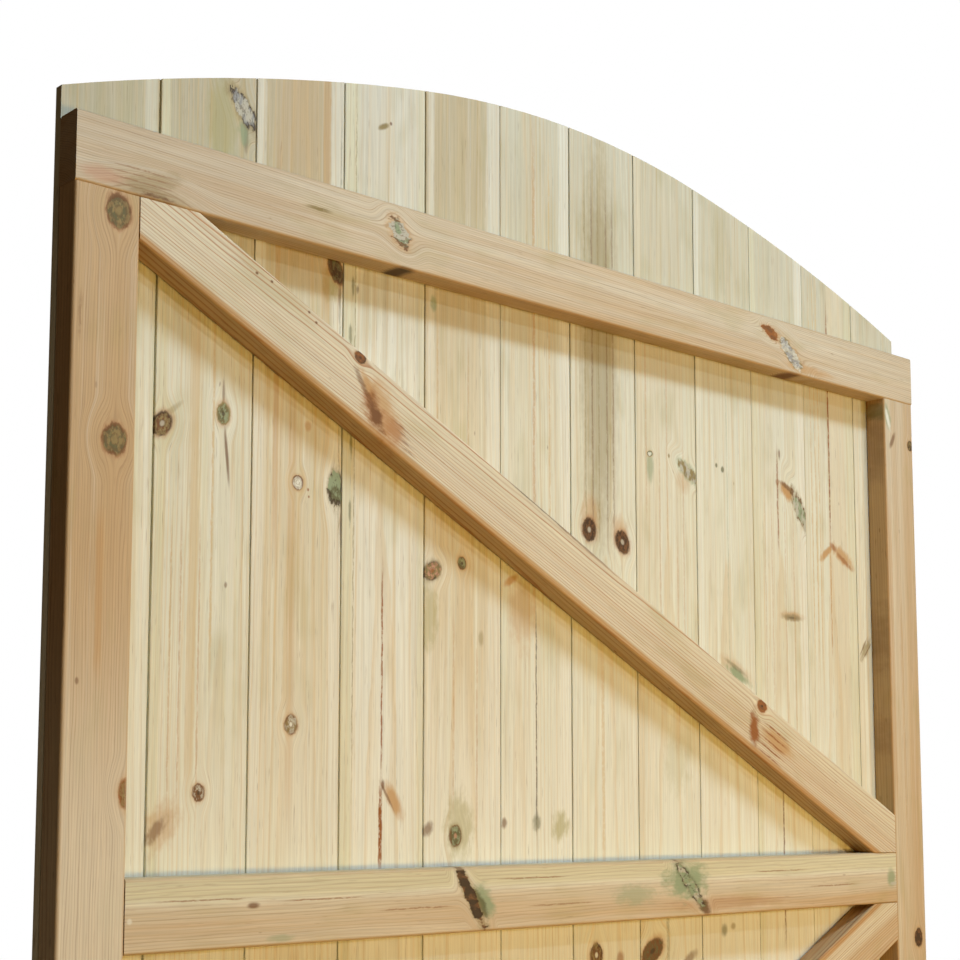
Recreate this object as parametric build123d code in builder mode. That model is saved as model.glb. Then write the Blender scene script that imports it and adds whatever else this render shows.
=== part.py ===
from build123d import *
import os

# Arch top garden gate: a framed, ledged and braced leaf, faced with tongue-and-groove boards.
# Millimetres, +Z up. X runs from the hanging stile's outer edge to the closing stile's outer edge,
# and Y from the frame side to the boarded side. The origin is on the hanging stile's outer edge,
# half way through its depth and half way up the middle rail.

# The leaf
GATE_WIDTH = 1330
CLEAR_BAY = 630             # clear height between one rail and the next
SHOULDER_RISE = 31.5        # how far the boards stand above the top rail at the gate's two edges
ARCH_RISE = 141.5           # crown of the arch above those shoulders
CROWN_RADIUS = 1250         # the tight middle stretch of the arch
CROWN_HALF_SPAN = 230

# Frame timber: stiles, rails and braces are all planed from the same section
TIMBER_WIDTH = 68
TIMBER_DEPTH = 31
ARRIS = 3                   # rounding of the four long corners

# Stub mortise and tenon joints
TENON_LENGTH = 30
TENON_WIDTH = 42
TENON_DEPTH = 11
MORTISE_PLAY = 0.3          # round the tenon's cheeks
MORTISE_EXTRA = 2           # past the tenon's end

# Braces: where their upper edges meet the frame, out from the corners of the bay
BRACE_ON_RAIL = 68
BRACE_ON_STILE = 51

# Tongue-and-groove boards
BOARD_DEPTH = 10
BOARD_COVER = 112.5
FIRST_COVER = 106           # the board at the hanging edge is ripped to width
BOARD_COUNT = 12
JOINT_GAPS = (2.3, 1.6, 1.5, 1.6, 0.9, 1.8, 1.5, 1.5, 0.8, 0.5, 1.3)    # as each joint has shrunk open
TONGUE_DEPTH = 3
TONGUE_LENGTH = 6
GROOVE_LENGTH = 7
GROOVE_PLAY = 0.4
FACE_CHAMFER = 2.5          # one side of the V at each joint, on the boarded side
BACK_CHAMFER = 0.5          # the same edges eased on the frame side

# Places worked out from the sizes above
HALF_FRAME = 1.5 * TIMBER_WIDTH + CLEAR_BAY
RAIL_CENTRE = HALF_FRAME - TIMBER_WIDTH / 2
BAY_LOW = TIMBER_WIDTH / 2
BAY_HIGH = BAY_LOW + CLEAR_BAY
BAY_LEFT = TIMBER_WIDTH
BAY_RIGHT = GATE_WIDTH - TIMBER_WIDTH
FRAME_BACK = TIMBER_DEPTH / 2       # the plane that the boards are fixed to
SHOULDER_HEIGHT = HALF_FRAME + SHOULDER_RISE
CROWN_HEIGHT = SHOULDER_HEIGHT + ARCH_RISE


def save(piece, name):
    """Labels a finished piece and writes it."""
    piece.label = name
    export_step(piece, f"parts/{name}.step")


def stile(name, centre_x, inner_side):
    """An upright between the top and bottom rails, tenoned into both and mortised for the middle rail."""
    with BuildPart() as upright:
        with BuildSketch(Plane.XY.offset(-BAY_HIGH)):
            with Locations((centre_x, 0)):
                RectangleRounded(TIMBER_WIDTH, TIMBER_DEPTH, ARRIS)
        extrude(amount=2 * BAY_HIGH)
        with Locations((centre_x, 0, BAY_HIGH), (centre_x, 0, -BAY_HIGH)):
            Box(TENON_WIDTH, TENON_DEPTH, 2 * TENON_LENGTH)
        with Locations((centre_x + inner_side * TIMBER_WIDTH / 2, 0, 0)):
            Box(
                2 * (TENON_LENGTH + MORTISE_EXTRA),
                TENON_DEPTH + 2 * MORTISE_PLAY,
                TENON_WIDTH + 2 * MORTISE_PLAY,
                mode=Mode.SUBTRACT,
            )
    save(upright.part, name)


def outer_rail(name, side):
    """A rail that runs the gate's whole width over the stiles' ends, and is mortised for both."""
    with BuildPart() as rail:
        with BuildSketch(Plane.YZ):
            with Locations((0, side * RAIL_CENTRE)):
                RectangleRounded(TIMBER_DEPTH, TIMBER_WIDTH, ARRIS)
        extrude(amount=GATE_WIDTH)
        with Locations(
            (TIMBER_WIDTH / 2, 0, side * BAY_HIGH),
            (GATE_WIDTH - TIMBER_WIDTH / 2, 0, side * BAY_HIGH),
        ):
            Box(
                TENON_WIDTH + 2 * MORTISE_PLAY,
                TENON_DEPTH + 2 * MORTISE_PLAY,
                2 * (TENON_LENGTH + MORTISE_EXTRA),
                mode=Mode.SUBTRACT,
            )
    save(rail.part, name)


def middle_rail():
    """The rail between the stiles, with a stub tenon at each end."""
    with BuildPart() as rail:
        with BuildSketch(Plane.YZ.offset(BAY_LEFT)):
            RectangleRounded(TIMBER_DEPTH, TIMBER_WIDTH, ARRIS)
        extrude(amount=BAY_RIGHT - BAY_LEFT)
        with Locations((BAY_LEFT, 0, 0), (BAY_RIGHT, 0, 0)):
            Box(2 * TENON_LENGTH, TENON_DEPTH, TENON_WIDTH)
    save(rail.part, "middle_rail")


def brace(name, side):
    """A diagonal from the outer rail's hanging corner to the closing stile at the middle rail.

    It is cut twice at each end, once to lie along the rail and once to lie along the stile.
    """
    outer_end = Vector(BAY_LEFT + BRACE_ON_RAIL, 0, side * BAY_HIGH)
    inner_end = Vector(BAY_RIGHT, 0, side * (BAY_LOW + BRACE_ON_STILE))
    run = inner_end - outer_end
    along = run.normalized()
    to_centre = Vector(-side * along.Z, 0, side * along.X) * (-TIMBER_WIDTH / 2)
    overrun = 2 * TIMBER_WIDTH
    start = outer_end + to_centre - along * overrun
    with BuildPart() as diagonal:
        with BuildSketch(Plane(origin=start, x_dir=(0, 1, 0), z_dir=along)):
            RectangleRounded(TIMBER_DEPTH, TIMBER_WIDTH, ARRIS)
        extrude(amount=run.length + 2 * overrun)
        with BuildSketch(Plane.XZ):
            with Locations(((BAY_LEFT + BAY_RIGHT) / 2, side * (BAY_LOW + BAY_HIGH) / 2)):
                Rectangle(BAY_RIGHT - BAY_LEFT, CLEAR_BAY)
        extrude(amount=TIMBER_DEPTH, both=True, mode=Mode.INTERSECT)
    save(diagonal.part, name)


def arched_outline():
    """The boarding's outline seen square on: straight sides under a crown that eases towards the shoulders."""
    middle = GATE_WIDTH / 2
    crown_drop = CROWN_RADIUS - (CROWN_RADIUS**2 - CROWN_HALF_SPAN**2) ** 0.5
    ease = CROWN_HEIGHT - crown_drop
    with BuildSketch(Plane.XZ) as outline:
        with BuildLine():
            crown = ThreePointArc(
                (middle - CROWN_HALF_SPAN, ease),
                (middle, CROWN_HEIGHT),
                (middle + CROWN_HALF_SPAN, ease),
            )
            TangentArc(crown @ 1, (GATE_WIDTH, SHOULDER_HEIGHT), tangent=crown % 1)
            TangentArc(crown @ 0, (0, SHOULDER_HEIGHT), tangent=(crown % 0) * -1)
            Polyline(
                (0, SHOULDER_HEIGHT),
                (0, -HALF_FRAME),
                (GATE_WIDTH, -HALF_FRAME),
                (GATE_WIDTH, SHOULDER_HEIGHT),
            )
        make_face()
    return outline.sketch


def board(name, left, right, grooved, tongued, outline):
    """One board: a groove in its hanging edge, a tongue on the other, and its top cut to the arch."""
    tongue_centre = FRAME_BACK + BOARD_DEPTH / 2
    with BuildPart() as plank:
        with BuildSketch(Plane.XY.offset(-HALF_FRAME)) as section:
            with Locations(((left + right) / 2, tongue_centre)):
                Rectangle(right - left, BOARD_DEPTH)
            face = section.vertices().group_by(Axis.Y)[-1].sort_by(Axis.X)
            back = section.vertices().group_by(Axis.Y)[0].sort_by(Axis.X)
            if grooved:
                chamfer(face[0], FACE_CHAMFER)
                chamfer(back[0], BACK_CHAMFER)
            if tongued:
                chamfer(face[-1], FACE_CHAMFER)
                chamfer(back[-1], BACK_CHAMFER)
                with Locations((right, tongue_centre)):
                    Rectangle(2 * TONGUE_LENGTH, TONGUE_DEPTH)
            if grooved:
                with Locations((left, tongue_centre)):
                    Rectangle(2 * GROOVE_LENGTH, TONGUE_DEPTH + GROOVE_PLAY, mode=Mode.SUBTRACT)
        extrude(amount=HALF_FRAME + CROWN_HEIGHT)
        extrude(outline, amount=2 * TIMBER_DEPTH, both=True, mode=Mode.INTERSECT)
    save(plank.part, name)


def boarding():
    """All the boards, from the hanging edge to the closing edge."""
    outline = arched_outline()
    joints = [0] + [FIRST_COVER + BOARD_COVER * n for n in range(BOARD_COUNT - 1)] + [GATE_WIDTH]
    gaps = (0, *JOINT_GAPS, 0)
    for number in range(BOARD_COUNT):
        board(
            f"board_{number + 1:02d}",
            joints[number] + gaps[number] / 2,
            joints[number + 1] - gaps[number + 1] / 2,
            grooved=number > 0,
            tongued=number < BOARD_COUNT - 1,
            outline=outline,
        )


os.makedirs("parts", exist_ok=True)
stile("hanging_stile", TIMBER_WIDTH / 2, 1)
stile("closing_stile", GATE_WIDTH - TIMBER_WIDTH / 2, -1)
outer_rail("top_rail", 1)
middle_rail()
outer_rail("bottom_rail", -1)
brace("upper_brace", 1)
brace("lower_brace", -1)
boarding()
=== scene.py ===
import math
from collections import namedtuple

import bpy
from bpy.props import FloatProperty, FloatVectorProperty, PointerProperty
from mathutils import Euler, Matrix, Vector


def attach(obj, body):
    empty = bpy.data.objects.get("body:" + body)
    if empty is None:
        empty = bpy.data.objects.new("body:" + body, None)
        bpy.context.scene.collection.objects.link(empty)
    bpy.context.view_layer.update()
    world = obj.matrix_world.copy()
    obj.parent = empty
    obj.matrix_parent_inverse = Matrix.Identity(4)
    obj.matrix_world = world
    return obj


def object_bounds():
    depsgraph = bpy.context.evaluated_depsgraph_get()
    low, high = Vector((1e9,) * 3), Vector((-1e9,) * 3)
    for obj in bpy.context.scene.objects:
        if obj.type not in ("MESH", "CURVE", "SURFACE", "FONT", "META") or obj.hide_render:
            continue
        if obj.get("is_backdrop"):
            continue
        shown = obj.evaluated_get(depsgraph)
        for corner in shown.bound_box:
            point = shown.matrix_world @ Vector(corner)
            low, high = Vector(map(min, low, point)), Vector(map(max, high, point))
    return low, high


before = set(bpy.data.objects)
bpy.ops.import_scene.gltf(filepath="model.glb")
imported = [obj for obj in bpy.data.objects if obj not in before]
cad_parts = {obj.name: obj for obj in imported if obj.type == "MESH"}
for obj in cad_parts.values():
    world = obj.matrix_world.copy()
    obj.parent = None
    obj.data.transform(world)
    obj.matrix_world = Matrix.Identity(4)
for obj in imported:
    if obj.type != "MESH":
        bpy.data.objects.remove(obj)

bl_info = {
    "name": "Arch Top Garden Gate",
    "version": (1, 0, 0),
    "blender": (4, 5, 0),
    "location": "View3D > Sidebar > Gate",
    "description": "Gives a framed, ledged and braced garden gate its timber, its nails and its stage",
    "category": "Object",
}

MM = 0.001

# Places on the gate, in millimetres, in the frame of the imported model
STILE_WIDTH = 68
GATE_WIDTH = 1330
GATE_MIDDLE = GATE_WIDTH / 2
RAIL_CENTRE = 698           # the outer rails' centres above and below the middle rail's
FRAME_BACK = 15.5           # the plane that the boards are fixed to
BOARD_BACK = 25.5           # the boarded side
FIRST_COVER = 106           # what the board at the hanging edge covers
BOARD_COVER = 112.5         # what each other board covers
BOARD_COUNT = 12
BRACE_SLOPE = math.radians(27.2)
BRACE_X = 701               # a point on each brace's long axis
BRACE_Z = 341


def tint(red, green, blue):
    """A colour as read on a screen, 0 to 255, as the linear values that Blender keeps."""
    shares = (red / 255, green / 255, blue / 255)
    return tuple(s / 12.92 if s <= 0.04045 else ((s + 0.055) / 1.055) ** 2.4 for s in shares)


def colour(name, description, red, green, blue):
    """A colour property with its default."""
    return FloatVectorProperty(
        name=name,
        description=description,
        subtype="COLOR",
        size=3,
        min=0,
        max=1,
        default=tint(red, green, blue),
    )


def power(name, description, default):
    """A property for how strong a light is."""
    return FloatProperty(name=name, description=description, default=default, min=0)


class GateTones(bpy.types.PropertyGroup):
    """The colours of the timber and of what has marked it."""

    sapwood: colour("Sapwood", "Pale outer wood of the boards", 218, 220, 203)
    heartwood: colour("Heartwood", "Tanner inner wood of the boards", 213, 206, 181)
    treated: colour("Treated wood", "Sapwood tinted by the preservative", 210, 209, 180)
    straw: colour("Straw", "Yellowed streaks in the boards", 204, 181, 136)
    planed: colour("Planed frame timber", "Pale wood of the frame", 206, 196, 172)
    tan: colour("Tan frame timber", "Warmer wood of the frame", 193, 168, 131)
    ring: colour("Ring lines", "Latewood of the frame", 144, 106, 70)
    grain: colour("Grain", "Orange-brown latewood of the braces", 168, 114, 66)
    lichen: colour("Lichen", "Yellow-green wood near the knots and the rails", 160, 154, 92)
    cream: colour("Cream", "Pale strips and fresh wood", 227, 229, 217)
    honey: colour("Honey", "Resin-stained wood", 188, 148, 96)
    rust: colour("Rust", "Red-brown heart of a knot or a scar", 144, 88, 42)
    brown: colour("Brown", "Brown knot", 112, 76, 46)
    bark: colour("Bark", "Bark and open cracks", 58, 42, 28)
    olive: colour("Olive", "Grey-brown wood", 142, 126, 82)
    moss: colour("Moss", "Green-brown knot", 96, 98, 66)
    teal: colour("Teal", "Copper green of the preservative", 142, 158, 126)
    ash: colour("Ash", "Grey-white wood in a knot", 186, 184, 168)
    pink: colour("Pink", "Pink heart of a knot", 190, 144, 118)
    steel: colour("Galvanised steel", "Nail heads", 150, 152, 150)


class NailSizes(bpy.types.PropertyGroup):
    """The nails that hold the boards to the rails."""

    head: FloatProperty(
        name="Head", description="Diameter of a nail head", unit="LENGTH", default=5.5 * MM, min=MM
    )
    proud: FloatProperty(
        name="Proud", description="How far a head stands out", unit="LENGTH", default=0.5 * MM, min=0
    )
    from_edge: FloatProperty(
        name="From edge", description="Nail to the board's joint", unit="LENGTH", default=27 * MM, min=MM
    )
    stagger: FloatProperty(
        name="Stagger", description="Height between the two nails", unit="LENGTH", default=14 * MM, min=0
    )


class StageSettings(bpy.types.PropertyGroup):
    """The camera, the lamps and the floor."""

    camera: FloatVectorProperty(
        name="Camera", description="Camera's place", subtype="TRANSLATION", default=(-0.740, -1.372, 0.104)
    )
    yaw: FloatProperty(
        name="Yaw", description="Turn to the right of square on", subtype="ANGLE", default=math.radians(42.35)
    )
    pitch: FloatProperty(
        name="Pitch", description="Tilt upwards", subtype="ANGLE", default=math.radians(6.29)
    )
    lens: FloatProperty(name="Lens", description="Focal length in millimetres", default=64.2, min=1)
    shift: FloatProperty(name="Shift", description="Upward shift of the lens", default=0.137)
    top_light: power("Top light", "Strip over the gate, in watts", 57)
    high_light: power("High light", "Small lamp high in front, in watts", 12)
    front_light: power("Front light", "Lamp at the front right, in watts", 57)
    low_light: power("Low light", "Warm bounce from low in front, in watts", 32)
    back_light: power("Back light", "Wide lamp behind, in watts", 95)
    shade: power("Shade", "Strength of the light that comes from all round", 0.062)
    floor_drop: FloatProperty(
        name="Floor drop", description="Floor below the gate", unit="LENGTH", default=60 * MM, min=0
    )


# Shader maths


def _maths(operation, swapped=False):
    """A Python operator that adds one Math node."""

    def method(self, other):
        pair = (other, self) if swapped else (self, other)
        return self.shader.maths(operation, *pair)

    return method


class Value:
    """What a node gives at each point of a surface, so that shader maths reads as Python."""

    def __init__(self, shader, socket):
        self.shader = shader
        self.socket = socket

    __add__ = _maths("ADD")
    __mul__ = _maths("MULTIPLY")
    __sub__ = _maths("SUBTRACT")
    __rsub__ = _maths("SUBTRACT", swapped=True)
    __truediv__ = _maths("DIVIDE")

    def __abs__(self):
        return self.shader.maths("ABSOLUTE", self)

    def also(self, output):
        """Another output of the same node."""
        return Value(self.shader, self.socket.node.outputs[output])

    def rise(self, low, high):
        """0 up to low and 1 from high on, eased between; with low above high it falls instead."""
        return self.shader.node(
            "MapRange",
            {"interpolation_type": "SMOOTHSTEP"},
            {"Value": self, "From Min": low, "From Max": high},
        )


class Shader:
    """The node tree of one material."""

    def __init__(self, owner):
        owner.use_nodes = True
        self.nodes = owner.node_tree.nodes
        self.links = owner.node_tree.links
        self.nodes.clear()

    def node(self, kind, settings=None, sockets=None, output=0):
        """Adds a node: its settings first, then the values or links of its sockets."""
        made = self.nodes.new("ShaderNode" + kind)
        for name, setting in (settings or {}).items():
            setattr(made, name, setting)
        for name, value in (sockets or {}).items():
            if isinstance(value, Value):
                self.links.new(value.socket, made.inputs[name])
            else:
                made.inputs[name].default_value = value
        return Value(self, made.outputs[output]) if len(made.outputs) else made

    def maths(self, operation, *numbers):
        return self.node("Math", {"operation": operation}, dict(enumerate(numbers)))

    def vector(self, operation, *vectors, output=0):
        return self.node("VectorMath", {"operation": operation}, dict(enumerate(vectors)), output)

    def mix(self, share, first, second, blend="MIX"):
        """Two colours mixed by a share from 0 to 1."""
        return self.node(
            "Mix",
            {"data_type": "RGBA", "blend_type": blend},
            {0: share, 6: first, 7: second},
            output=2,
        )

    def noise(self, place, size, detail=2, rough=0.5, seed=0):
        """Soft noise from 0 to 1 whose lumps measure about size, a length along each axis."""
        scaled = self.vector("DIVIDE", place, size)
        moved = self.vector("ADD", scaled, (seed * 7.3, seed * 3.1, seed * 5.7))
        return self.node(
            "TexNoise", None, {"Vector": moved, "Scale": 1, "Detail": detail, "Roughness": rough}
        )


# Timber

UPRIGHT = -math.pi / 2      # turns about Y that take X to the grain's direction
LEVEL = 0

# Painted shade: the tint that darkens and warms the narrow sides of a piece
FLANK_SHADE_TINT = (0.82, 0.60, 0.36, 1)
THIN_STREAK = 7             # a streak thinner than this is broken up
RELIEF = 0.4                # depth of the raised grain
KNOT_REACH = 3.2            # how far a knot bends the grain, in its own half lengths

# What the frame's timber looks like unless a piece says otherwise. Names are of tones, shares go from
# 0 to 1, and lengths are in millimetres.
FRAME_LOOK = {
    "pale": "planed",       # the two tones of the broad bands, and how much the second shows
    "warm": "tan",
    "warm_share": 0.8,
    "tinge": "honey",       # narrower bands over them
    "tinge_share": 0.15,
    "thin_share": 0.2,      # thin straw and cream streaks
    "low_share": 0,         # painted light: cream on the lower part of an upright
    "grey_share": 0,        # painted shade: olive towards the top of a board
    "line": "ring",         # the latewood lines
    "ring": 2.8,            # from one line to the next
    "ring_share": 0.35,
    "ripple": 2.4,          # unevenness of the lines, their slow wander, and their slant to the piece
    "wander": 9,
    "taper": 0.008,
    "pith": (100, 60),      # the tree's heart, across and through from the piece's axis
    "fleck_share": 0.3,     # fine dark flecks
    "flank_share": 0.5,     # painted shade on the narrow sides
    "arris_highlight": "tan",         # painted highlight on the long corners
}
BOARD_LOOK = {
    **FRAME_LOOK,
    "pale": "sapwood",
    "warm": "heartwood",
    "tinge": "treated",
    "tinge_share": 0.3,
    "thin_share": 0.6,
    "low_share": 0.55,
    "grey_share": 0.3,
    "line": "straw",
    "ring": 3.9,
    "ring_share": 0.42,
    "pith": (0, 90),
    "fleck_share": 0.4,
    "flank_share": 0,
    "arris_highlight": "treated",
}

# Marks on a piece. The centre is millimetres along and across it, and the lean is in radians.
Knot = namedtuple("Knot", "centre long wide lean core rings rim eye halo spread flaky")
Stain = namedtuple("Stain", "centre long wide lean tone strength ragged")
Streak = namedtuple("Streak", "centre long wide tone strength")
Band = namedtuple("Band", "centre wide tone strength soft")


class Timber:
    """The finish of one planed softwood piece, worked out in millimetres along, through and across it.

    Marks are given where they are on the gate, as x and z, and the grain bends round the knots.
    """

    def __init__(self, node, middle, turn, width, depth, seed, look):
        self.node = node
        self.middle = middle            # x and z of a point on the piece's long axis
        self.turn = turn
        self.width = width
        self.depth = depth
        self.seed = seed
        self.look = look
        self.tones = bpy.context.scene.gate_tones
        self.knots = []
        self.stains = []
        self.streaks = []
        self.bands = []

    def tone(self, name):
        """A colour of the timber by its name, as a socket takes it."""
        return (*getattr(self.tones, name), 1)

    def local(self, x, z):
        """A place on the gate as millimetres along and across the piece."""
        dx = x - self.middle[0]
        dz = z - self.middle[1]
        along = dx * math.cos(self.turn) - dz * math.sin(self.turn)
        across = dx * math.sin(self.turn) + dz * math.cos(self.turn)
        return along, across

    def knot(
        self, x, z, long, wide, lean=0, core="olive", rings="brown", rim="bark", eye="bark",
        halo="honey", spread=0.8, flaky=False,
    ):
        """A knot long by wide, its long side turned clockwise from the grain by lean degrees."""
        self.knots.append(
            Knot(self.local(x, z), long, wide, math.radians(lean), core, rings, rim, eye, halo, spread, flaky)
        )

    def stain(self, x, z, long, wide, tone, strength=0.6, lean=0, ragged=0.7):
        """A soft patch of another colour."""
        self.stains.append(Stain(self.local(x, z), long, wide, math.radians(lean), tone, strength, ragged))

    def streak(self, x, z, long, wide, tone, strength=0.7):
        """A thin broken line that wanders along the grain."""
        self.streaks.append(Streak(self.local(x, z), long, wide, tone, strength))

    def band(self, x, z, wide, tone, strength=0.5, soft=2.5):
        """A stripe of another colour along the whole piece, through that place."""
        self.bands.append(Band(self.local(x, z), wide, tone, strength, soft))

    def distance(self, mark):
        """How far a point lies from a knot's or a stain's centre, 1 at its edge."""
        along, across = mark.centre
        spot = self.s.node(
            "Mapping",
            {"vector_type": "TEXTURE"},
            {
                "Vector": self.place,
                "Location": (along, 0, across),
                "Rotation": (0, mark.lean, 0),
                "Scale": (mark.long / 2, 1e6, mark.wide / 2),
            },
        )
        return self.s.vector("LENGTH", spot, output="Value")

    def build(self):
        """Makes the material and gives it to the piece."""
        material = bpy.data.materials.new(self.node + "_timber")
        self.s = s = Shader(material)
        x, z = self.middle
        self.place = s.node(
            "Mapping",
            {"vector_type": "TEXTURE"},
            {
                "Vector": s.node("TexCoord", output="Object"),
                "Location": (x * MM, 0, z * MM),
                "Rotation": (0, self.turn, 0),
                "Scale": (MM, MM, MM),
            },
        )
        self.along = s.node("SeparateXYZ", None, {0: self.place})
        self.through = self.along.also("Y")
        self.across = self.along.also("Z")
        self.uneven = s.noise(self.place, (16, 30, 8), detail=3, rough=0.6, seed=self.seed + 2) - 0.5
        self.mottle = s.noise(self.place, (7, 30, 4), detail=2, rough=0.7, seed=self.seed + 7)
        self.patchy = s.noise(self.place, (15, 30, 7), detail=2, seed=self.seed + 9)
        distances = [self.distance(knot) for knot in self.knots]

        late = self.growth_rings(distances)
        base = self.broad_tones()
        base = s.mix(late * self.look["ring_share"], base, self.tone(self.look["line"]))
        base = self.fibres(base)
        base = self.add_stains(base)
        base = self.add_streaks(base)
        for knot, distance in zip(self.knots, distances):
            base = self.add_knot(base, knot, distance)
        base = self.arris_highlight(base)
        base = self.shade_flanks(base)
        base = self.end_grain(base, late)
        relief = s.noise(self.place, (70, 2, 1.4), detail=1, seed=self.seed + 11)
        bump = s.node("Bump", None, {"Strength": 0.3, "Distance": RELIEF * MM, "Height": relief})
        surface = s.node(
            "BsdfPrincipled",
            None,
            {"Base Color": base, "Roughness": 0.66 - late * 0.08, "Specular IOR Level": 0.25, "Normal": bump},
        )
        s.node("OutputMaterial", None, {"Surface": surface})
        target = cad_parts[self.node]
        target.data.materials.clear()
        target.data.materials.append(material)

    def growth_rings(self, distances):
        """How dark the latewood lines are, 0 to 1. The knots push them aside."""
        s, look = self.s, self.look
        wander = s.noise(self.place, (420, 90, 70), detail=1, seed=self.seed) - 0.5
        bent = self.across + wander * look["wander"]
        for knot, distance in zip(self.knots, distances):
            bent = bent - (self.across - knot.centre[1]) * distance.rise(KNOT_REACH, 0.8) * 0.85
        self.flowing = s.node("CombineXYZ", None, {0: self.along, 1: self.through, 2: bent})
        pith_across, pith_through = look["pith"]
        side = bent - pith_across
        deep = self.through - pith_through
        radius = s.maths("SQRT", side * side + deep * deep) + self.along * look["taper"]
        ripple = s.noise(self.place, (90, 14, 12), detail=2, seed=self.seed + 1) - 0.5
        count = (radius + ripple * look["ripple"]) / look["ring"]
        share = s.maths("FRACT", count)
        late = share.rise(0.5, 0.87) - share.rise(0.92, 1.0)
        each = s.node("TexWhiteNoise", {"noise_dimensions": "1D"}, {"W": s.maths("FLOOR", count)})
        return late * (each * 0.7 + 0.3)

    def broad_tones(self):
        """Bands of paler and warmer wood along the grain."""
        s, look = self.s, self.look
        broad = s.noise(self.flowing, (900, 60, 26), detail=2, seed=self.seed + 3)
        warm = broad.rise(0.36, 0.66) * look["warm_share"]
        base = s.mix(warm, self.tone(look["pale"]), self.tone(look["warm"]))
        tinge = s.noise(self.flowing, (700, 60, 14), detail=2, seed=self.seed + 4)
        base = s.mix(tinge.rise(0.48, 0.7) * look["tinge_share"], base, self.tone(look["tinge"]))
        thin = s.noise(self.flowing, (480, 40, 4.5), detail=2, rough=0.6, seed=self.seed + 8)
        base = s.mix(thin.rise(0.52, 0.78) * look["thin_share"], base, self.tone("straw"))
        base = s.mix(thin.rise(0.48, 0.24) * look["thin_share"], base, self.tone("cream"))
        haze = s.noise(self.place, (110, 60, 40), detail=2, rough=0.65, seed=self.seed + 10)
        base = s.mix(haze.rise(0.5, 0.75) * 0.26, base, self.tone("lichen"))
        # Painted light: paler towards the bottom of an upright
        base = s.mix(self.along.rise(340, 20) * look["low_share"], base, self.tone("cream"))
        # Painted shade: olive, darker towards the top of a board
        base = s.mix(self.along.rise(480, 780) * look["grey_share"], base, self.tone("olive"))
        across = s.node("SeparateXYZ", None, {0: self.flowing}, output=2)
        for band in self.bands:
            edge = abs(across - band.centre[1]) + self.uneven * 3
            inside = edge.rise(band.wide / 2 + band.soft, band.wide / 2 - band.soft)
            base = s.mix(inside * band.strength, base, self.tone(band.tone))
        return base

    def fibres(self, base):
        """The finest streaks, dark flecks and brown specks."""
        s = self.s
        fibre = s.noise(self.flowing, (90, 2.4, 1.5), detail=2, rough=0.6, seed=self.seed + 5)
        base = s.mix(1, base, (fibre - 0.5) * 0.42 + 1.0, "MULTIPLY")
        fleck = s.noise(self.flowing, (26, 6, 0.9), detail=1, seed=self.seed + 6).rise(0.66, 0.8)
        base = s.mix(fleck * self.look["fleck_share"], base, self.tone("brown"))
        cells = s.node(
            "TexVoronoi",
            {"feature": "F1"},
            {"Vector": s.vector("DIVIDE", self.flowing, (30, 9, 10)), "Scale": 1},
        )
        chosen = s.node("SeparateColor", None, {0: cells.also("Color")}).rise(0.93, 0.95)
        return s.mix(cells.rise(0.15, 0.07) * chosen * 0.6, base, self.tone("brown"))

    def add_stains(self, base):
        """Soft patches with ragged edges."""
        for stain in self.stains:
            edge = self.distance(stain) + self.uneven * stain.ragged
            base = self.s.mix(edge.rise(1.05, 0.35) * stain.strength, base, self.tone(stain.tone))
        return base

    def add_streaks(self, base):
        """Lines along the grain. The thin ones are broken up."""
        for streak in self.streaks:
            along, across = streak.centre
            half = streak.long / 2
            side = abs(self.across - across + self.uneven * 3)
            ends = abs(self.along - along).rise(half, half - 12 - half / 3)
            line = side.rise(streak.wide / 2 + 0.4, streak.wide / 4) * ends * streak.strength
            if streak.wide < THIN_STREAK:
                line = line * (self.mottle.rise(0.3, 0.55) * 0.6 + 0.4)
            base = self.s.mix(line, base, self.tone(streak.tone))
        return base

    def add_knot(self, base, knot, distance):
        """Resin-stained wood round it, a broken dark rim, and a mottled heart."""
        s = self.s
        core, rings, rim, eye, halo = (
            self.tone(name) for name in (knot.core, knot.rings, knot.rim, knot.eye, knot.halo)
        )
        ragged = 1.3 if knot.flaky else 0.6
        edge = distance + self.uneven * ragged + (self.mottle - 0.5) * ragged * 0.6
        stained = edge.rise(1 + knot.spread, 0.9)
        base = s.mix(stained * stained * 0.6, base, halo)
        if knot.flaky:
            heart = s.mix(self.patchy.rise(0.42, 0.56), core, rings)
            heart = s.mix(self.mottle.rise(0.5, 0.36) * 0.5, heart, eye)
            heart = s.mix(self.mottle.rise(0.58, 0.7) * 0.6, heart, rim)
            broken = self.patchy.rise(0.44, 0.56)
        else:
            circles = s.maths("FRACT", edge * 2.6)
            heart = s.mix(self.mottle.rise(0.42, 0.58), core, rings)
            heart = s.mix(circles.rise(0.3, 0.9) * 0.35, heart, rim)
            heart = s.mix(distance.rise(0.34, 0.14) * 0.8, heart, eye)
            broken = self.uneven.rise(-0.22, 0.08)
        base = s.mix(edge.rise(1.06, 0.86) * 0.94, base, heart)
        border = edge.rise(0.74, 0.94) * edge.rise(1.18, 1.0) * broken
        return s.mix(border * 0.85, base, rim)

    def arris_highlight(self, base):
        """Painted highlight: a warmer tone on the last few millimetres of each face at the long corners, for
        the light that the rounded corners catch.
        """
        side = abs(self.across).rise(self.width / 2 - 4, self.width / 2 - 2.2)
        deep = abs(self.through).rise(self.depth / 2 - 4, self.depth / 2 - 2.2)
        lit_corner = side * deep * (self.uneven + 0.9) * 0.5
        return self.s.mix(lit_corner, base, self.tone(self.look["arris_highlight"]))

    def shade_flanks(self, base):
        """Painted shade on the narrow sides, which makes them darker and warmer than the face."""
        side = abs(self.across).rise(self.width / 2 - 2.5, self.width / 2 - 0.5)
        return self.s.mix(side * self.look["flank_share"], base, FLANK_SHADE_TINT, "MULTIPLY")

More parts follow.
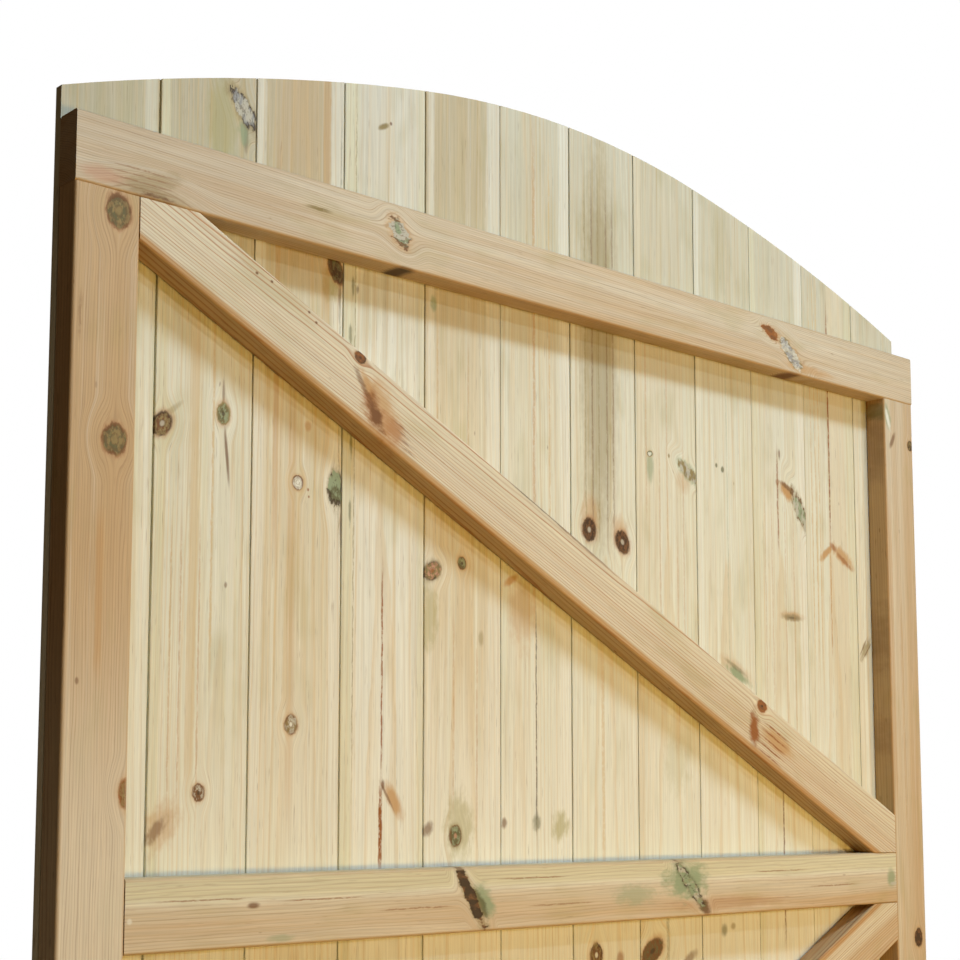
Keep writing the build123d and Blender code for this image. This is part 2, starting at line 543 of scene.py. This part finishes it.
    def end_grain(self, base, late):
        """Sawn ends, where the cut fibres look darker and show the rings as arcs."""
        s = self.s
        normal = s.node("TexCoord", output="Normal")
        grain_way = (math.cos(self.turn), 0, -math.sin(self.turn))
        facing = abs(s.vector("DOT_PRODUCT", normal, grain_way, output="Value")).rise(0.7, 0.95)
        cut = s.mix(late * 0.5 + 0.4, self.tone("honey"), self.tone("brown"))
        return s.mix(facing * 0.55, base, cut)


def frame_timber(node, middle, turn, seed, **look):
    """A stile, a rail or a brace, with what sets it apart from the rest of the frame."""
    return Timber(node, middle, turn, STILE_WIDTH, 2 * FRAME_BACK, seed, {**FRAME_LOOK, **look})


def hanging_stile():
    wood = frame_timber(
        "hanging_stile",
        (STILE_WIDTH / 2, 0),
        UPRIGHT,
        seed=1,
        pale="tan",
        low_share=0.55,
        ring=2.3,
        ring_share=0.45,
        ripple=4,
        pith=(-90, 55),
        flank_share=0.4,
    )
    wood.knot(45, 645, 32, 25, core="olive", rings="moss", rim="brown", eye="olive", halo="grain", spread=0.5)
    wood.knot(46, 431, 29, 25, core="olive", rings="moss", rim="brown", eye="olive", halo="grain", spread=0.5)
    wood.knot(68, 110, 28, 18, rim="rust")
    wood.stain(14, 209, 8, 5, "brown")
    wood.streak(34, 290, 180, 9, "honey", 0.5)
    wood.streak(8, 540, 60, 3, "brown", 0.4)
    return wood


def closing_stile():
    wood = frame_timber("closing_stile", (GATE_WIDTH - STILE_WIDTH / 2, 0), UPRIGHT, seed=2, flank_share=1.0)
    wood.stain(1268, 640, 50, 20, "teal", 0.8, lean=-20, ragged=1.4)
    wood.stain(1270, 636, 44, 10, "cream", 0.9, lean=-20, ragged=1.4)
    wood.stain(1280, 606, 34, 10, "brown", 0.7, lean=30)
    # Painted shade: brown along the inner side, next to the boards
    wood.stain(1260, 600, 170, 8, "brown", 0.3, ragged=1.2)
    wood.stain(1260, 330, 150, 8, "brown", 0.3, ragged=1.2)
    wood.stain(1260, 190, 90, 8, "brown", 0.25, ragged=1.2)
    wood.knot(1323, 604, 14, 12, rings="bark")
    wood.knot(1311, -83, 24, 18, core="brown", rings="bark")
    wood.streak(1290, 200, 420, 6, "honey", 0.3)
    wood.streak(1268, 300, 500, 10, "honey", 0.4)
    return wood


def top_rail():
    wood = frame_timber(
        "top_rail",
        (GATE_MIDDLE, RAIL_CENTRE),
        LEVEL,
        seed=3,
        ring=2.2,
        ring_share=0.5,
        taper=0.02,
        pith=(-110, 50),
    )
    wood.knot(84, 652, 60, 34, rim="brown", halo="olive", spread=1.2)
    # Painted shade: the left end of the rail a little darker
    wood.stain(110, 698, 460, 240, "ring", 0.14)
    wood.stain(28, 676, 60, 20, "pink", 0.5)
    wood.stain(82, 682, 90, 24, "olive", 0.35, lean=-20, ragged=1.2)
    for z in (672, 678, 684, 690):
        wood.streak(70, z, 90, 1.6, "ring", 0.6)
    wood.stain(392, 663, 34, 9, "bark", 0.9)
    wood.stain(1060, 663, 40, 9, "brown", 0.9)
    wood.streak(275, 702, 46, 4, "olive", 1.0)
    wood.knot(381, 702, 34, 22, lean=50, core="ash", rings="teal", rim="brown", flaky=True)
    wood.knot(1010, 711, 34, 14, lean=20, core="rust", rim="rust", eye="rust", flaky=True)
    wood.knot(
        1052, 690, 58, 20, lean=38, core="ash", rings="steel", rim="olive", eye="cream", spread=0.5,
        flaky=True,
    )
    wood.stain(1090, 674, 130, 16, "honey", 0.6)
    return wood


def middle_rail():
    wood = frame_timber(
        "middle_rail", (GATE_MIDDLE, 0), LEVEL, seed=4, ring=2.9, ripple=4, wander=14, pith=(90, 50)
    )
    wood.band(GATE_MIDDLE, 24, 28, "treated", 0.8, soft=4)
    wood.band(GATE_MIDDLE, 10, 6, "cream", 0.4, soft=4)
    wood.band(GATE_MIDDLE, -20, 24, "honey", 0.15, soft=8)
    wood.stain(207, 5, 18, 8, "brown", 0.8)
    wood.stain(239, -27, 40, 10, "teal", 0.5)
    wood.stain(740, -4, 90, 30, "teal", 0.5, ragged=1.4)
    wood.stain(503, -2, 54, 30, "teal", 0.9, lean=55, ragged=1.2)
    wood.stain(498, -6, 50, 14, "moss", 0.9, lean=60, ragged=1.2)
    wood.stain(900, -20, 300, 20, "grain", 0.3)
    for x, z in ((150, 12), (290, 8), (410, -6), (575, 20), (620, -10), (1010, 16), (1120, -6)):
        wood.streak(x, z, 120, 1.5, "ring", 0.7)
    wood.knot(483, 4, 78, 13, lean=60, core="brown", rings="bark", halo="olive", flaky=True)
    wood.stain(828, 10, 96, 58, "teal", 0.95, ragged=1.2)
    wood.knot(836, 4, 68, 14, lean=48, core="teal", rings="ash", eye="olive", halo="moss", flaky=True)
    wood.stain(862, -24, 40, 20, "brown", 0.9, lean=50, ragged=1.2)
    wood.stain(1250, 0, 24, 34, "teal", 0.8)
    wood.stain(1255, -8, 20, 6, "ash", 0.9)
    wood.stain(73, -4, 7, 7, "cream", 0.6)
    return wood


def bottom_rail():
    wood = frame_timber(
        "bottom_rail", (GATE_MIDDLE, -RAIL_CENTRE), LEVEL, seed=5, ring_share=0.3, pith=(100, 55)
    )
    wood.knot(340, -690, 34, 22, lean=40, rim="rust")
    wood.knot(905, -712, 40, 20, lean=30, core="ash", rings="olive", rim="rust", flaky=True)
    return wood


def upper_brace():
    wood = frame_timber(
        "upper_brace",
        (BRACE_X, BRACE_Z),
        BRACE_SLOPE,
        seed=6,
        pale="heartwood",
        warm="planed",
        line="grain",
        ring=2.7,
        ring_share=0.85,
        ripple=1.8,
        taper=0.014,
        pith=(48, 30),
        flank_share=0.85,
    )
    for x, z in ((200, 619), (218, 614), (264, 592), (273, 583)):
        wood.stain(x, z, 5, 4, "brown", 0.9)
    wood.knot(330, 557, 15, 11, core="rust")
    wood.stain(340, 528, 46, 14, "honey", 0.8, lean=36)
    wood.stain(358, 503, 100, 52, "honey", 0.75, lean=34)
    wood.stain(374, 486, 60, 30, "grain", 0.6, lean=20, ragged=1.2)
    wood.stain(348, 504, 62, 28, "rust", 0.7, lean=34, ragged=1.4)
    wood.stain(351, 500, 44, 20, "brown", 0.85, lean=34, ragged=1.8)
    wood.stain(333, 530, 46, 9, "brown", 0.6, lean=30, ragged=1.4)
    for z in (500, 492, 484, 476):
        wood.streak(386 + (500 - z) / 3, z - 8, 34, 1.8, "brown", 0.6)
    wood.streak(590, 432, 130, 9, "bark", 0.85)
    wood.streak(660, 394, 120, 8, "brown", 0.6)
    wood.knot(978, 222, 18, 15, core="rust", rim="rust")
    wood.stain(962, 192, 56, 24, "rust", 0.95, lean=62, ragged=1.6)
    wood.stain(957, 172, 16, 12, "ash", 0.5, lean=62)
    wood.stain(1008, 176, 84, 30, "honey", 0.75)
    for z in (190, 182, 174, 166, 158):
        wood.streak(1006 - (190 - z) / 2, z, 70, 2.4, "rust", 0.85)
    return wood


def lower_brace():
    wood = frame_timber(
        "lower_brace",
        (BRACE_X, -BRACE_Z),
        -BRACE_SLOPE,
        seed=7,
        pale="heartwood",
        line="grain",
        ring=2.6,
        ring_share=0.85,
        pith=(-60, 35),
        flank_share=0.85,
    )
    wood.knot(900, -235, 26, 18, core="rust")
    wood.stain(480, -455, 70, 14, "rust", 0.6, lean=20)
    return wood


def board_edges(number):
    """The two edges of a board, counted from 1 at the hanging edge."""
    left = 0 if number == 1 else FIRST_COVER + BOARD_COVER * (number - 2)
    right = GATE_WIDTH if number == BOARD_COUNT else FIRST_COVER + BOARD_COVER * (number - 1)
    return left, right


def board_timber(number, **look):
    """A board, with what sets it apart from the rest."""
    left, right = board_edges(number)
    middle = ((left + right) / 2, 0)
    look = {**BOARD_LOOK, **look}
    return Timber(
        f"board_{number:02d}", middle, UPRIGHT, right - left, 2 * BOARD_BACK, number + 10, look
    )


def board_01():
    wood = board_timber(1, warm="treated", grey_share=0.5)
    wood.band(96, 0, 14, "cream", 0.4)
    return wood


def board_02():
    wood = board_timber(2, warm_share=0.3, pith=(-20, 60), tinge_share=0.6, grey_share=0.5)
    wood.band(112, 0, 10, "treated", 0.7)
    for x in (128, 139, 160):
        wood.streak(x, 230, 330, 2, "honey", 0.5)
    wood.streak(196, 250, 380, 10, "cream", 0.5)
    wood.streak(152, 340, 560, 12, "straw", 0.5)
    wood.streak(173, 400, 420, 3, "straw", 0.7)
    wood.stain(178, 775, 130, 50, "lichen", 0.45)
    wood.stain(206, 770, 46, 7, "brown", 0.6)
    wood.stain(203, 772, 34, 16, "teal", 0.8, lean=-10, ragged=1.2)
    wood.knot(202, 797, 44, 18, lean=-40, core="ash", rings="steel", halo="olive", flaky=True)
    wood.knot(115, 461, 25, 19, lean=35, eye="ash", halo="grain")
    wood.stain(126, 476, 40, 8, "olive", 0.4, lean=50)
    wood.knot(184, 481, 22, 15, core="teal", rings="moss", rim="olive")
    wood.stain(184, 500, 44, 4, "brown", 0.6)
    wood.stain(189, 440, 76, 5, "brown", 0.8, lean=-6, ragged=0.3)
    wood.stain(190, 312, 8, 5, "brown", 0.6)
    wood.knot(163, 111, 17, 13, core="ash", rim="brown")
    wood.stain(122, 80, 70, 40, "honey", 0.5, lean=30, ragged=1.2)
    wood.stain(116, 74, 44, 16, "brown", 0.6, lean=40, ragged=1.4)
    return wood


def board_03():
    wood = board_timber(3, pale="heartwood", pith=(0, 70), grey_share=0.45)
    wood.band(225, 0, 14, "cream", 0.5)
    wood.band(323, 0, 17, "cream", 0.5)
    wood.streak(327, 600, 560, 2, "moss", 0.4)
    wood.streak(247, 560, 500, 8, "honey", 0.4)
    wood.streak(272, 760, 300, 70, "honey", 0.22)
    wood.streak(308, 740, 340, 12, "honey", 0.45)
    wood.streak(268, 300, 500, 12, "honey", 0.25)
    wood.stain(316, 646, 60, 30, "lichen", 0.7, ragged=1.2)
    wood.knot(321, 655, 32, 18, lean=-25, core="moss", rings="bark", rim="brown")
    wood.stain(326, 628, 40, 5, "brown", 0.5)
    wood.stain(287, 484, 14, 11, "honey", 0.6)
    wood.knot(275, 424, 15, 13, core="ash", rings="cream", rim="brown", eye="cream")
    wood.stain(288, 418, 5, 4, "rust", 0.8)
    wood.stain(289, 411, 4, 3, "rust", 0.8)
    wood.knot(323, 424, 36, 17, core="teal", rings="moss", eye="teal", halo="olive", flaky=True)
    wood.stain(330, 385, 50, 4, "brown", 0.5)
    wood.knot(270, 179, 19, 15, core="ash", rings="olive", rim="brown", eye="cream")
    return wood


def board_04():
    wood = board_timber(4, pale="cream", warm="heartwood", warm_share=0.5, tinge="ash", grey_share=0.25)
    wood.band(339, 0, 16, "treated", 0.7)
    wood.band(438, 0, 11, "treated", 0.5)
    wood.streak(347, 500, 900, 1.5, "olive", 0.6)
    for x, z in ((342, 690), (344, 640), (341, 590), (345, 548), (343, 470), (342, 400)):
        wood.stain(x, z, 34, 5, "moss", 0.6, ragged=1.5)
    wood.stain(350, 640, 12, 6, "bark", 0.5, ragged=1.5)
    wood.stain(384, 828, 22, 8, "olive", 0.95, lean=60)
    wood.stain(394, 834, 6, 5, "brown", 0.8)
    wood.streak(386, 240, 260, 2.2, "rust", 0.9)
    wood.streak(385, 76, 110, 5.5, "rust", 1.0)
    wood.stain(403, 103, 54, 20, "honey", 0.85, lean=-32, ragged=0.8)
    wood.stain(394, 108, 44, 4, "brown", 0.6, lean=-32)
    wood.stain(388, 120, 14, 6, "brown", 0.8)
    return wood


def board_05():
    wood = board_timber(5, pale="heartwood", warm="straw", warm_share=0.3, low_share=0.9, grey_share=0.4)
    wood.band(545, 0, 22, "cream", 0.5)
    wood.band(451, 0, 9, "cream", 0.45)
    for x, z in ((462, 520), (486, 200), (507, 500), (520, 170)):
        wood.streak(x, z, 260, 3, "honey", 0.4)
    wood.stain(452, 300, 90, 30, "lichen", 0.45, ragged=1.4)
    wood.stain(456, 646, 22, 12, "teal", 0.7)
    wood.knot(455, 350, 25, 18, lean=60, core="pink", rings="olive", eye="rust", halo="olive")
    wood.knot(498, 362, 14, 12, core="teal", rings="moss", rim="brown")
    wood.stain(526, 281, 22, 10, "olive", 0.5)
    wood.stain(449, 73, 26, 16, "brown", 0.7, lean=50, ragged=1.3)
    wood.stain(496, 76, 90, 50, "lichen", 0.5, ragged=1.2)
    wood.knot(489, 66, 22, 17, core="teal", rings="moss", rim="brown", eye="pink", halo="olive")
    return wood


def board_06():
    wood = board_timber(6, warm_share=0.6, pith=(30, 60), low_share=0.8)
    wood.band(659, 0, 19, "cream", 0.5)
    wood.streak(609, 600, 640, 5, "honey", 0.6)
    wood.streak(634, 600, 640, 3, "straw", 0.7)
    wood.stain(572, 350, 34, 12, "honey", 0.8, lean=60)
    wood.streak(611, 190, 300, 2.2, "bark", 0.7)
    wood.stain(590, 315, 110, 50, "honey", 0.4, ragged=1.2)
    wood.stain(561, 78, 16, 12, "brown", 0.7, ragged=1.2)
    wood.stain(611, 80, 24, 16, "moss", 0.6, ragged=1.4)
    wood.stain(648, 76, 40, 34, "lichen", 0.6, ragged=1.4)
    return wood


def board_07():
    wood = board_timber(7, warm_share=0.3)
    wood.stain(718, 640, 640, 80, "olive", 0.55, ragged=0.5)
    for x, tone in ((694, "olive"), (706, "brown"), (717, "olive"), (731, "brown"), (742, "brown")):
        wood.streak(x, 620, 520, 3, tone, 0.45)
    wood.stain(700, 440, 60, 40, "honey", 0.5)
    wood.stain(752, 424, 50, 34, "honey", 0.5)
    wood.knot(699, 421, 27, 22, core="brown", rings="bark", eye="ash", halo="grain")
    wood.knot(756, 412, 28, 22, lean=-30, core="brown", rings="bark", eye="ash", halo="grain")
    wood.knot(706, -73, 26, 20, eye="cream")
    wood.stain(746, -80, 24, 16, "rust", 0.6)
    wood.streak(720, 150, 300, 6, "straw", 0.6)
    return wood


def board_08():
    wood = board_timber(8, warm_share=0.55)
    wood.band(788, 0, 10, "heartwood", 0.7)
    for x, z in ((800, 560), (824, 420), (838, 540), (856, 300), (868, 420)):
        wood.streak(x, z, 300, 3, "honey", 0.4)
    wood.stain(807, 512, 56, 16, "teal", 0.6)
    wood.knot(807, 527, 10, 7, lean=80, core="cream", rings="teal", rim="moss", eye="cream")
    wood.stain(842, 529, 7, 5, "olive", 0.8)
    wood.knot(
        878, 513, 40, 16, lean=-58, core="ash", rings="olive", rim="olive", eye="steel", halo="teal",
        flaky=True,
    )
    wood.stain(868, 500, 40, 34, "honey", 0.35)
    wood.stain(850, 150, 90, 60, "lichen", 0.25, ragged=1.4)
    wood.knot(802, -74, 40, 24, lean=60, core="moss", rim="brown")
    wood.stain(870, -86, 40, 16, "brown", 0.6, lean=60)
    wood.streak(830, -60, 100, 6, "moss", 0.4)
    return wood


def board_09():
    wood = board_timber(9, warm_share=0.6, tinge_share=0.5)
    wood.band(900, 0, 8, "cream", 0.5)
    wood.streak(954, 480, 800, 2, "teal", 0.3)
    wood.stain(933, 529, 8, 6, "moss", 0.8)
    wood.stain(945, 525, 10, 8, "moss", 0.8)
    wood.stain(966, 270, 90, 26, "honey", 0.4, lean=-65)
    wood.stain(972, 262, 66, 16, "teal", 0.9, lean=-65, ragged=1.2)
    wood.stain(966, 272, 60, 8, "moss", 0.5, lean=-65)
    wood.stain(935, -56, 20, 16, "moss", 0.6)
    wood.stain(952, -52, 12, 12, "olive", 0.6)
    return wood


def board_10():
    wood = board_timber(10, warm_share=0.6)
    wood.band(1012, 0, 12, "treated", 0.6)
    for x in (1030, 1044, 1072, 1090):
        wood.streak(x, 330, 420, 2, "honey", 0.4)
    wood.band(1109, 0, 18, "cream", 0.55)
    wood.streak(1058, 500, 160, 4, "rust", 0.7)
    wood.stain(1063, 561, 20, 6, "brown", 0.7)
    wood.stain(1058, 523, 12, 10, "rust", 0.6)
    wood.stain(1079, 512, 46, 24, "honey", 0.95, lean=-62, ragged=1.2)
    wood.stain(1080, 518, 38, 10, "brown", 0.75, lean=-66, ragged=1.2)
    wood.knot(
        1104, 492, 54, 17, lean=-32, core="ash", rings="teal", rim="brown", eye="ash", halo="olive",
        flaky=True,
    )
    wood.stain(1084, 346, 17, 62, "honey", 0.6, ragged=0.9)
    wood.stain(1084, 344, 12, 52, "moss", 0.55, ragged=1.2)
    wood.stain(1084, 344, 4, 20, "bark", 0.4)
    wood.streak(1058, 20, 240, 3, "brown", 0.8)
    return wood


def board_11():
    wood = board_timber(11, warm_share=0.5)
    wood.band(1192, 0, 34, "heartwood", 0.8)
    wood.band(1222, 0, 18, "treated", 0.6)
    for x in (1133, 1142, 1150):
        wood.streak(x, 560, 640, 2, "straw", 0.8)
    wood.streak(1173, 620, 380, 3.5, "rust", 0.9)
    wood.streak(1172, 380, 200, 2.5, "honey", 0.8)
    wood.stain(1162, 438, 44, 14, "honey", 0.9, lean=54, ragged=1.2)
    wood.stain(1200, 436, 70, 24, "honey", 0.8, lean=-58, ragged=1.2)
    wood.stain(1204, 430, 50, 9, "rust", 0.6, lean=-58, ragged=1.2)
    wood.stain(1178, 448, 24, 10, "rust", 0.6, lean=-58)
    return wood


def board_12():
    wood = board_timber(12, warm_share=0.3)
    wood.band(1238, 0, 12, "heartwood", 0.5)
    wood.stain(1248, 312, 50, 18, "olive", 0.7, lean=38, ragged=1.2)
    wood.stain(1243, 315, 44, 3, "brown", 0.6, lean=35)
    wood.stain(1252, 310, 44, 3, "brown", 0.6, lean=42)
    return wood


FRAME_PIECES = (hanging_stile, closing_stile, top_rail, middle_rail, bottom_rail, upper_brace, lower_brace)
BOARD_PIECES = (
    board_01,
    board_02,
    board_03,
    board_04,
    board_05,
    board_06,
    board_07,
    board_08,
    board_09,
    board_10,
    board_11,
    board_12,
)


class GATE_OT_finish_frame(bpy.types.Operator):
    """Give the stiles, rails and braces their planed timber"""

    bl_idname = "gate.finish_frame"
    bl_label = "Finish Frame"

    def execute(self, context):
        for piece in FRAME_PIECES:
            piece().build()
        return {"FINISHED"}


class GATE_OT_finish_boards(bpy.types.Operator):
    """Give each board its own timber"""

    bl_idname = "gate.finish_boards"
    bl_label = "Finish Boards"

    def execute(self, context):
        for piece in BOARD_PIECES:
            piece().build()
        return {"FINISHED"}


def nail_places(sizes):
    """Where the nails go on the boarded side: two for each board at each rail, one higher than the other."""
    for rail, height in (("top", RAIL_CENTRE), ("middle", 0), ("bottom", -RAIL_CENTRE)):
        places = []
        for number in range(1, BOARD_COUNT + 1):
            left, right = board_edges(number)
            places.append((left * MM + sizes.from_edge, height * MM + sizes.stagger / 2))
            places.append((right * MM - sizes.from_edge, height * MM - sizes.stagger / 2))
        yield rail, places


def galvanised(tones):
    """Dull zinc on the nail heads."""
    material = bpy.data.materials.new("nail_zinc")
    s = Shader(material)
    place = s.node("TexCoord", output="Object")
    spangle = s.noise(place, (1.5 * MM, 1.5 * MM, 1.5 * MM), detail=3)
    base = s.mix(spangle.rise(0.4, 0.65), (*tones.steel, 1), (*tones.ash, 1))
    rusted = s.noise(place, (4 * MM, 4 * MM, 4 * MM), seed=3).rise(0.55, 0.7)
    base = s.mix(rusted * 0.6, base, (*tones.brown, 1))
    surface = s.node(
        "BsdfPrincipled", None, {"Base Color": base, "Metallic": 0.6, "Roughness": spangle * 0.3 + 0.4}
    )
    s.node("OutputMaterial", None, {"Surface": surface})
    return material


def nail_head(sizes):
    """One nail head, its outer face raised inside a narrow rim, with its middle on the origin."""
    bpy.ops.object.select_all(action="DESELECT")
    bpy.ops.mesh.primitive_cylinder_add(
        vertices=16,
        radius=sizes.head / 2,
        depth=2 * sizes.proud,
        rotation=(-math.pi / 2, 0, 0),
    )
    head = bpy.context.object
    bpy.ops.object.transform_apply(location=True, rotation=True, scale=True)
    bpy.ops.object.mode_set(mode="EDIT")
    bpy.ops.mesh.select_mode(type="FACE")
    bpy.ops.mesh.select_all(action="DESELECT")
    bpy.ops.object.mode_set(mode="OBJECT")
    for face in head.data.polygons:
        face.select = face.normal.y > 0.9
    bpy.ops.object.mode_set(mode="EDIT")
    bpy.ops.mesh.inset(thickness=sizes.head / 8, depth=0)
    bpy.ops.transform.translate(value=(0, sizes.proud / 3, 0))
    bpy.ops.object.mode_set(mode="OBJECT")
    return head


class GATE_OT_nail_boards(bpy.types.Operator):
    """Nail the boards to the three rails, with the heads on the boarded side"""

    bl_idname = "gate.nail_boards"
    bl_label = "Nail Boards"

    def execute(self, context):
        sizes = context.scene.nail_sizes
        zinc = galvanised(context.scene.gate_tones)
        head = nail_head(sizes)
        for rail, places in nail_places(sizes):
            copies = []
            for x, z in places:
                copy = bpy.data.objects.new("nail", head.data.copy())
                copy.data.transform(Matrix.Translation((x, BOARD_BACK * MM, z)))
                context.scene.collection.objects.link(copy)
                copies.append(copy)
            bpy.ops.object.select_all(action="DESELECT")
            for copy in copies:
                copy.select_set(True)
            context.view_layer.objects.active = copies[0]
            bpy.ops.object.join()
            nails = context.object
            nails.name = f"nails_{rail}_rail"
            nails.data.materials.clear()
            nails.data.materials.append(zinc)
            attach(nails, "root")
        bpy.data.objects.remove(head)
        return {"FINISHED"}


# The stage, in metres
FLOOR_RADIUS = 7
SHADOW_NEAR = 0.5           # the floor's shadow starts to fade here and is gone at the far distance
SHADOW_FAR = 2.2
FLOOR_BOUNCE = (0.32, 0.22, 0.13, 1)        # the floor as it lights the gate
SURROUND_TINT = (1.0, 0.72, 0.44, 1)


def lamp(name, watts, width, height, tone, place, aim):
    """An area lamp at a place, turned to face a point."""
    bpy.ops.object.light_add(type="AREA", location=place)
    made = bpy.context.object
    made.name = name
    made.data.shape = "RECTANGLE"
    made.data.size = width
    made.data.size_y = height
    made.data.energy = watts
    made.data.color = tone
    made.visible_camera = False
    made.rotation_euler = (aim - Vector(place)).to_track_quat("-Z", "Y").to_euler()


def studio_lamps(settings, aim):
    """A cool strip over the gate, lamps in front that fill its shadow, and a wide lamp behind."""
    for name, width, height, tone, place in (
        ("top_light", 1.4, 0.26, (0.56, 0.76, 1.0), (0.9, -1.4, 2.58)),
        ("high_light", 0.1, 0.1, (0.75, 0.90, 1.0), (0.25, -2.6, 2.2)),
        ("front_light", 0.35, 0.35, (1.0, 0.95, 0.87), (3.1, -5.0, 0.84)),
        ("low_light", 2.0, 0.4, (1.0, 0.63, 0.17), (1.0, -2.3, -0.28)),
        ("back_light", 1.8, 2.4, (1.0, 0.98, 0.95), (1.1, 3.2, 1.9)),
    ):
        lamp(name, getattr(settings, name), width, height, tone, place, aim)


def white_surround(settings):
    """A world that is white to the camera and gives the gate a little warm light from all round."""
    world = bpy.data.worlds.new("studio")
    bpy.context.scene.world = world
    s = Shader(world)
    rays = s.node("LightPath", output="Is Camera Ray")
    seen = s.maths("MAXIMUM", rays, rays.also("Is Transmission Ray"))
    white = s.node("Background", None, {"Color": (1, 1, 1, 1), "Strength": 1})
    around = s.node("Background", None, {"Color": SURROUND_TINT, "Strength": settings.shade})
    s.node("OutputWorld", None, {"Surface": s.node("MixShader", None, {0: seen, 1: around, 2: white})})


def studio_floor(settings, low, centre):
    """A pale round floor that keeps the gate's shadow near it and glows white farther out."""
    bpy.ops.object.select_all(action="DESELECT")
    place = (centre.x, centre.y, low - settings.floor_drop)
    bpy.ops.mesh.primitive_circle_add(vertices=96, radius=FLOOR_RADIUS, fill_type="NGON", location=place)
    floor = bpy.context.object
    floor.name = "studio_floor"
    material = bpy.data.materials.new("floor_paint")
    s = Shader(material)
    place = s.node("TexCoord", output="Object")
    distance = s.vector("LENGTH", place, output="Value")
    grain = s.noise(place, (0.4, 0.4, 0.4), detail=4)
    rays = s.node("LightPath", output="Is Camera Ray")
    paint = s.mix(grain, (0.80, 0.80, 0.79, 1), (0.84, 0.84, 0.83, 1))
    paint = s.mix(rays, FLOOR_BOUNCE, paint)
    matt = s.node("BsdfPrincipled", None, {"Base Color": paint, "Roughness": 0.9, "Specular IOR Level": 0.1})
    glow = s.node("Emission", None, {"Color": (1, 1, 1, 1), "Strength": 1})
    glowing = (distance.rise(SHADOW_NEAR, SHADOW_FAR) * 0.5 + 0.5) * rays
    surface = s.node("MixShader", None, {0: glowing, 1: matt, 2: glow})
    s.node("OutputMaterial", None, {"Surface": surface})
    floor.data.materials.append(material)
    floor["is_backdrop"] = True


def studio_camera(settings):
    """The camera at the photograph's place and angle."""
    bpy.ops.object.camera_add(location=settings.camera)
    camera = bpy.context.object
    camera.rotation_euler = Euler((math.pi / 2 + settings.pitch, 0, -settings.yaw))
    camera.data.lens = settings.lens
    camera.data.sensor_width = 36
    camera.data.shift_y = settings.shift
    camera.data.clip_start = 0.01
    bpy.context.scene.camera = camera


class GATE_OT_set_stage(bpy.types.Operator):
    """Set up the floor, the white surround, the lamps and the camera"""

    bl_idname = "gate.set_stage"
    bl_label = "Set Stage"

    def execute(self, context):
        settings = context.scene.stage_settings
        low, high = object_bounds()
        centre = (low + high) / 2
        white_surround(settings)
        studio_floor(settings, low.z, centre)
        studio_lamps(settings, centre)
        studio_camera(settings)
        context.scene.view_settings.view_transform = "Standard"
        return {"FINISHED"}


class GATE_PT_builder(bpy.types.Panel):
    """Lists the steps that finish the gate"""

    bl_idname = "GATE_PT_builder"
    bl_label = "Arch Top Gate"
    bl_space_type = "VIEW_3D"
    bl_region_type = "UI"
    bl_category = "Gate"

    def draw(self, context):
        for step in (GATE_OT_finish_frame, GATE_OT_finish_boards, GATE_OT_nail_boards, GATE_OT_set_stage):
            self.layout.operator(step.bl_idname)
        for group in (context.scene.gate_tones, context.scene.nail_sizes, context.scene.stage_settings):
            box = self.layout.box()
            for name in group.__annotations__:
                box.prop(group, name)


CLASSES = (
    GateTones,
    NailSizes,
    StageSettings,
    GATE_OT_finish_frame,
    GATE_OT_finish_boards,
    GATE_OT_nail_boards,
    GATE_OT_set_stage,
    GATE_PT_builder,
)


def register():
    for made in CLASSES:
        bpy.utils.register_class(made)
    bpy.types.Scene.gate_tones = PointerProperty(type=GateTones)
    bpy.types.Scene.nail_sizes = PointerProperty(type=NailSizes)
    bpy.types.Scene.stage_settings = PointerProperty(type=StageSettings)


def unregister():
    del bpy.types.Scene.stage_settings
    del bpy.types.Scene.nail_sizes
    del bpy.types.Scene.gate_tones
    for made in reversed(CLASSES):
        bpy.utils.unregister_class(made)


def main():
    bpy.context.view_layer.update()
    register()
    bpy.ops.gate.finish_frame()
    bpy.ops.gate.finish_boards()
    bpy.ops.gate.nail_boards()
    bpy.ops.gate.set_stage()


if __name__ == "__main__":
    main()
